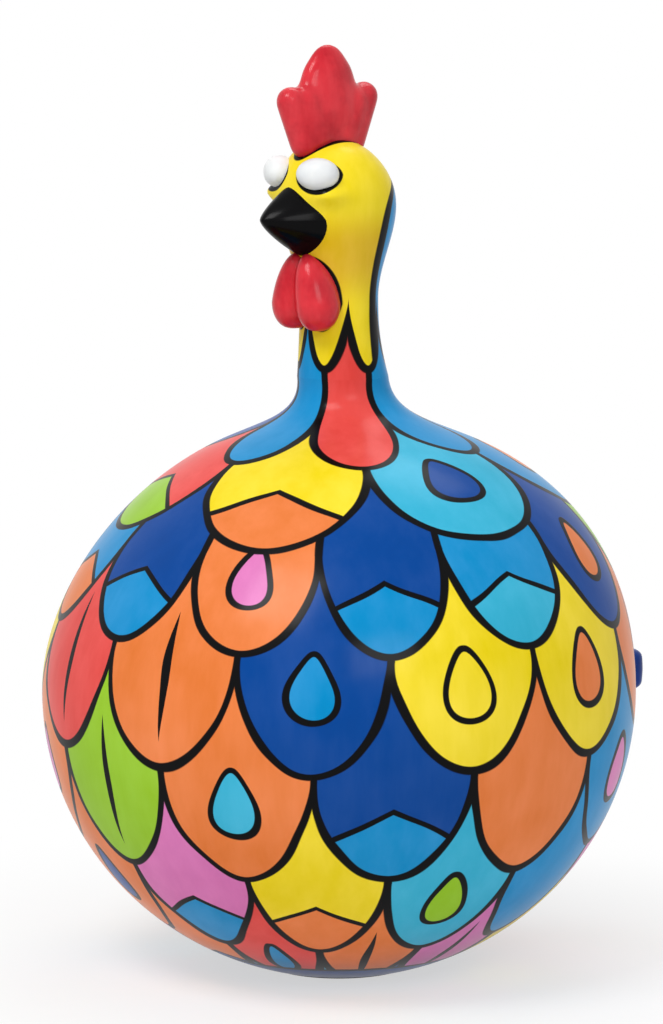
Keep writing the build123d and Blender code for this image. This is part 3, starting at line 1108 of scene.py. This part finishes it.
comb_work = bmesh.new()
for (low, low_radius), (high, high_radius) in zip(tongue_levels, tongue_levels[1:]):
    stroke(comb_work, on_comb(0, low), on_comb(0, high), low_radius * mm, high_radius * mm, tongue_flatness)
for side, lobe_up in ((-1, front_lobe_up), (1, rear_lobe_up)):
    lobe_start = on_comb(side * lobe_root[0], lobe_root[1])
    lobe_end = on_comb(side * lobe_along, lobe_up)
    stroke(comb_work, lobe_start, lobe_end, *lobe_radii, lobe_flatness)
    filler_start = on_comb(side * filler_root[0], filler_root[1])
    filler_stop = on_comb(side * filler_end[0], filler_end[1])
    stroke(comb_work, filler_start, filler_stop, *filler_radii, lobe_flatness)
comb = run_together("red_comb", comb_work, voxel=0.5 * mm, rounds=60)
dress(comb, "rooster", ["comb"], red_material)

# %% [markdown]
# ## Beak
# The beak is a blunt pyramid on a diamond, in two halves that close along the mouth. Each half is a loft of
# rounded half diamonds from inside the head to the tip, so its ridges are soft, as moulded ridges are.

# %% The two halves of the beak
beak_corner_y = -14.3 * mm
beak_tip_y = -31.6 * mm
beak_half_width = 12.0 * mm
beak_rise = 13.7 * mm
beak_drop = 12.4 * mm
beak_root = 7 * mm
mouth_gap = 0.02 * mm
beak_rows = 48
width_straight = 1.2
width_blunt = 0.66


def bullet(share, straight, blunt):
    """Size along a rounded point, from 1 at its root to 0 at its tip."""
    return max(1 - share**straight, 0) ** blunt


def half_diamond(y, width, ridge, roundness, count=24):
    """Half of a rounded diamond across the beak, from corner to corner, closed along the mouth."""
    lip = mouth_gap / 2 if ridge > 0 else -mouth_gap / 2
    points = []
    for step in range(count + 1):
        angle = pi * step / count
        reach = (abs(cos(angle)) ** roundness + abs(sin(angle)) ** roundness) ** (-1 / roundness)
        points.append(Vector((width * reach * cos(angle), y, mouth_z + lip + ridge * reach * sin(angle))))
    for step in range(1, count):
        points.append(points[count].lerp(points[0], step / count))
    return points


def beak_half(name, node, ridge, roundness, straight, blunt):
    """One half of the beak: straight inside the head, and a rounded point outside it."""
    rings = [half_diamond(beak_corner_y + beak_root, beak_half_width, ridge, roundness)]
    for step in range(beak_rows):
        share = sin(pi / 2 * step / beak_rows)
        y = beak_corner_y + (beak_tip_y - beak_corner_y) * share
        width = beak_half_width * bullet(share, width_straight, width_blunt)
        rings.append(half_diamond(y, width, ridge * bullet(share, straight, blunt), roundness))
    dress(loft(name, rings), "rooster", [node], black_material)


beak_half("black_upper_beak", "upper_beak", beak_rise, roundness=1.55, straight=1.05, blunt=0.75)
beak_half("black_lower_beak", "lower_beak", -beak_drop, roundness=1.7, straight=1.08, blunt=0.76)

# %% [markdown]
# ## Eyes
# Each eye is a plump white oval, fuller than a ball at its edge, that sits half sunk in the head and looks a
# little outward. The loft runs along the line of sight, from the back of the eye inside the head to its
# front. The stub that holds the real eye is hidden in the head, and isn't needed here.


# %% The eyes
eye_half_depth = 5 * mm
eye_fullness = 0.86
eye_rows = 40
eye_steps = 64


def make_eye(name, node, side):
    """One eye: a plump oval around the line of sight."""
    sight = Vector((side * sin(eye_angle), -cos(eye_angle), 0))
    across = Vector((cos(eye_angle), side * sin(eye_angle), 0))
    middle = Vector((0, head_shift(eye_z), eye_z)) + sight * eye_distance
    rings = []
    for step in range(1, eye_rows):
        angle = pi * step / eye_rows
        fullness = sin(angle) ** eye_fullness
        depth = middle - sight * eye_half_depth * cos(angle)
        ring = []
        for turn in range(eye_steps):
            swing = tau * turn / eye_steps
            offset = across * eye_half_length * cos(swing) + Vector((0, 0, eye_half_height * sin(swing)))
            ring.append(depth + offset * fullness)
        rings.append(ring)
    dress(loft(name, rings), "rooster", [node], white_material)


make_eye("white_left_eye", "left_eye", 1)
make_eye("white_right_eye", "right_eye", -1)

# %% [markdown]
# ## Wattles
# Two red lobes hang under the beak and press against each other, which leaves a crease between them. Each is
# a drop, narrow at the top and full below, flattened where it meets the other.

# %% The wattles
crease = 0.05 * mm
crease_opening = 0.02 * mm
full_below = 0.8
slim_above = 1.1
top_forward = 1.2 * mm
wattle_rows = 48
wattle_steps = 64


def make_wattle(name, node, side):
    """One lobe: a drop that is flat on its inner side."""
    rings = []
    for step in range(1, wattle_rows):
        angle = pi * step / wattle_rows
        up = -cos(angle)
        z = wattle_z + up * (wattle_top if up > 0 else wattle_bottom)
        fullness = sin(angle) ** (full_below if up < 0 else slim_above)
        aside = wattle_side * (1 - wattle_draw_in * max(up, 0))
        forward = -wattle_forward - top_forward * max(up, 0) ** 2
        middle = Vector((side * aside, forward, z))
        ring = oval_ring(middle, wattle_half_width * fullness, wattle_half_depth * fullness, wattle_steps)
        for point in ring:
            inner = side * point.x
            point.x = side * max(inner, crease + crease_opening * (1 - fullness))
        rings.append(ring)
    dress(loft(name, rings), "rooster", [node], red_material)


make_wattle("red_left_wattle", "left_wattle", 1)
make_wattle("red_right_wattle", "right_wattle", -1)

# %% [markdown]
# ## Tail
# The tail is a stub of three plump feathers in a fan. One feather, repeated at an angle, is a job for
# instances: the tree turns a feather about the tail's root and makes the copies real. A remesh then runs
# them together.

# %% The tail
tail_sink = 8 * mm
tail_root_y = ball_radius - tail_sink
tail_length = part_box("tail")[1].y - tail_root_y
tail_half_height = (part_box("tail")[1].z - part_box("tail")[0].z) / 2
tail_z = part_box("tail")[0].z + tail_half_height
tail_fan = radians(24)
tail_feathers = 3


def make_fan_tree():
    """Copies of a feather, fanned about Z at the origin."""
    inputs = (("Feathers", "Int"), ("Fan Angle", "Float"), ("Material", "Material"))
    tree, given = new_geometry_tree("fanned_feathers", inputs)
    points = add_node(tree, "GeometryNodeMeshLine", {"Count": given["Feathers"], "Offset": (0, 0, 0)})
    index = Field(tree, tree.nodes.new("GeometryNodeInputIndex").outputs[0])
    count = Field(tree, given["Feathers"])
    turn = (index - (count - 1.0) * 0.5) * given["Fan Angle"]
    spin = add_node(tree, "ShaderNodeCombineXYZ", {"Z": turn})
    copies = add_node(tree, "GeometryNodeInstanceOnPoints", {
        "Points": points.outputs[0], "Instance": given["Geometry"], "Rotation": spin.outputs[0],
    })
    end_geometry_tree(tree, given, copies.outputs[0])
    return tree


feather_end = Vector((0, tail_length - tail_half_height, 0))
feather_work = bmesh.new()
stroke(feather_work, Vector(), feather_end, tail_half_height, tail_half_height)
square_off(feather_work, tail_half_height, squareness=0.35)
feather_mesh = bpy.data.meshes.new("tail_feather")
feather_work.to_mesh(feather_mesh)
feather_work.free()
fan = run_tree(new_object("fan", feather_mesh), make_fan_tree(), {
    "Feathers": tail_feathers, "Fan Angle": tail_fan, "Material": tail_material,
})
tail_work = bmesh.new()
tail_work.from_mesh(fan.data)
bmesh.ops.translate(tail_work, vec=(0, tail_root_y, tail_z), verts=tail_work.verts)
bpy.data.objects.remove(fan)
tail = run_together("blue_tail", tail_work, voxel=0.5 * mm, rounds=12)
dress(tail, "rooster", ["tail"], tail_material)

# %% [markdown]
# ## Stopper, felt and pins
# These keep their modelled shapes, because they are plain turned pieces, and only get better surfaces: black
# rubber with a moulded grain, felt with loose fibres, and drawn steel wire.


# %% Rubber, felt and steel
def make_rubber():
    """Soft black rubber with a fine grain."""
    material, tree, place = new_material("stopper_rubber")
    grain = noise(tree, place, scale=900.0, detail=3.0, roughness=0.6)
    bloom = noise(tree, place, scale=120.0)
    bump = add_node(tree, "ShaderNodeBump", {"Height": grain, "Strength": 0.3, "Distance": 0.1 * mm})
    shader = add_node(tree, "ShaderNodeBsdfPrincipled", {
        "Base Color": mix_colour(tree, bloom.step(0.3, 0.8), paint("1b1b1d"), paint("343437")),
        "Roughness": grain * 0.2 + 0.55,
        "Normal": bump.outputs[0],
    })
    close_material(tree, shader)
    return material


def make_felt():
    """Dark felt: loose fibres over soft lumps, with a little sheen."""
    material, tree, place = new_material("felt")
    fibres = noise(tree, place, scale=2200.0, detail=5.0, roughness=0.75)
    lumps = noise(tree, place, scale=240.0)
    bump = add_node(tree, "ShaderNodeBump", {"Height": fibres + lumps, "Strength": 0.8, "Distance": 0.3 * mm})
    shader = add_node(tree, "ShaderNodeBsdfPrincipled", {
        "Base Color": mix_colour(tree, fibres.step(0.3, 0.75), paint("26262b"), paint("4a4a52")),
        "Roughness": fibres * 0.1 + 0.85,
        "Normal": bump.outputs[0],
        "Sheen Weight": 0.4,
    })
    close_material(tree, shader)
    return material


def make_steel():
    """Drawn steel wire with fine marks."""
    material, tree, place = new_material("steel_pin")
    marks = noise(tree, place, scale=1500.0)
    shader = add_node(tree, "ShaderNodeBsdfPrincipled", {
        "Base Color": mix_colour(tree, marks, paint("a9abad"), paint("c9cbcd")),
        "Metallic": 1.0,
        "Roughness": marks * 0.2 + 0.25,
    })
    close_material(tree, shader)
    return material


def redress(node, material):
    """Give a modelled node a better material."""
    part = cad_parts[node]
    part.data.materials.clear()
    part.data.materials.append(material)


redress("base_stopper", make_rubber())
redress("felt_ring", make_felt())
steel = make_steel()
for node in ("comb_pins", "beak_pins", "wattle_pins", "tail_pins"):
    redress(node, steel)
print("redressed nodes: stopper, felt and pins")

# %% [markdown]
# ## Floor and light
# The photograph has a white ground and soft light from the upper left. The floor is white, keeps the shadow
# near the foot and fades into the white world further out. It shows only its upper side, so the foot can be
# seen from below. The world shows white to the camera and in reflections, and lights the object less.


# %% The floor
def seen_straight(tree):
    """1 for what the camera sees, by itself or in a gloss or through glass, and 0 for scattered light."""
    path = tree.nodes.new("ShaderNodeLightPath")
    seen = Field(tree, path.outputs["Is Camera Ray"])
    for ray in ("Is Glossy Ray", "Is Transmission Ray"):
        seen = seen.math("MAXIMUM", path.outputs[ray])
    return seen


fade_from = 40 * mm
fade_until = 220 * mm
least_white = 0.6


def make_floor_material():
    """White floor that keeps the shadow near the object and fades to plain white."""
    material, tree, place = new_material("white_floor")
    x, y, _ = parts_of(tree, place)
    grain = noise(tree, place, scale=60.0, detail=3.0)
    colour = mix_colour(tree, grain, paint("f4f4f3"), paint("f8f8f8"))
    matt = add_node(tree, "ShaderNodeBsdfDiffuse", {"Color": colour})
    white = add_node(tree, "ShaderNodeEmission", {"Color": (1, 1, 1, 1), "Strength": 1.0})
    far = length_of(x, y).step(fade_from, fade_until) * (1 - least_white) + least_white
    faded = add_node(tree, "ShaderNodeMixShader")
    plug(tree, faded.inputs[0], far * seen_straight(tree))
    tree.links.new(matt.outputs[0], faded.inputs[1])
    tree.links.new(white.outputs[0], faded.inputs[2])
    clear = tree.nodes.new("ShaderNodeBsdfTransparent")
    one_sided = add_node(tree, "ShaderNodeMixShader")
    tree.links.new(tree.nodes.new("ShaderNodeNewGeometry").outputs["Backfacing"], one_sided.inputs[0])
    tree.links.new(faded.outputs[0], one_sided.inputs[1])
    tree.links.new(clear.outputs[0], one_sided.inputs[2])
    close_material(tree, one_sided)
    return material


floor_half = 3.0
floor_mesh = bpy.data.meshes.new("floor")
corners = [(-floor_half, -floor_half, 0), (floor_half, -floor_half, 0), (floor_half, floor_half, 0)]
corners.append((-floor_half, floor_half, 0))
floor_mesh.from_pydata(corners, [], [(0, 1, 2, 3)])
floor_mesh.materials.append(make_floor_material())
floor = new_object("floor", floor_mesh)
print("floor:", 2 * floor_half, "m wide")


# %% The world and the lamps
world = bpy.data.worlds.new("white_studio")
bpy.context.scene.world = world
world.use_nodes = True
world_tree = world.node_tree
world_tree.nodes.clear()
ambient_level = 0.4
sky = add_node(world_tree, "ShaderNodeBackground", {"Color": (1, 1, 1, 1)})
plug(world_tree, sky.inputs["Strength"], seen_straight(world_tree) * (1 - ambient_level) + ambient_level)
world_output = world_tree.nodes.new("ShaderNodeOutputWorld")
world_tree.links.new(sky.outputs[0], world_output.inputs["Surface"])

view_angle = radians(50)
view_rise = radians(8)
aim = Vector((-1.54, -1.84, 146.5)) * mm  # the middle of the picture


def toward(angle, rise):
    """Direction from the object: angle about Z from straight in front, and rise above the level."""
    return Vector((cos(rise) * sin(angle), -cos(rise) * cos(angle), sin(rise)))


def add_softbox(name, angle, rise, distance, width, height, power):
    """A large soft lamp that faces the object."""
    lamp = bpy.data.lights.new(name, "AREA")
    lamp.shape = "RECTANGLE"
    lamp.size = width
    lamp.size_y = height
    lamp.energy = power
    box = new_object(name, lamp)
    box.location = aim + toward(angle, rise) * distance
    box.rotation_euler = toward(angle, rise).to_track_quat("Z", "Y").to_euler()


add_softbox(
    "key_softbox", angle=view_angle - radians(37), rise=radians(53),
    distance=1.3, width=0.55, height=0.45, power=9.2,
)
add_softbox(
    "fill_softbox", angle=view_angle + radians(17), rise=radians(29),
    distance=1.5, width=0.6, height=0.4, power=4.2,
)
add_softbox(
    "top_softbox", angle=view_angle + radians(160), rise=radians(62),
    distance=1.4, width=0.8, height=0.5, power=4.2,
)
print("lamps:", len(bpy.data.lights))

# %% [markdown]
# ## Camera
# The photograph was taken from a little above the level, about 50 degrees to the bird's left of straight
# ahead, with a long lens. The camera's distance and lens give the photograph's scale.

# %% The camera
camera_distance = 1.4
frame_height = 326.5 * mm
camera_data = bpy.data.cameras.new("camera")
camera_data.sensor_fit = "VERTICAL"
camera_data.sensor_height = 36.0
camera_data.lens = camera_data.sensor_height * camera_distance / frame_height
camera = new_object("camera", camera_data)
camera.location = aim + toward(view_angle, view_rise) * camera_distance
camera.rotation_euler = toward(view_angle, view_rise).to_track_quat("Z", "Y").to_euler()
bpy.context.scene.camera = camera
bpy.context.scene.view_settings.view_transform = "Standard"
print(f"lens {camera_data.lens:.1f} mm at {camera_distance} m")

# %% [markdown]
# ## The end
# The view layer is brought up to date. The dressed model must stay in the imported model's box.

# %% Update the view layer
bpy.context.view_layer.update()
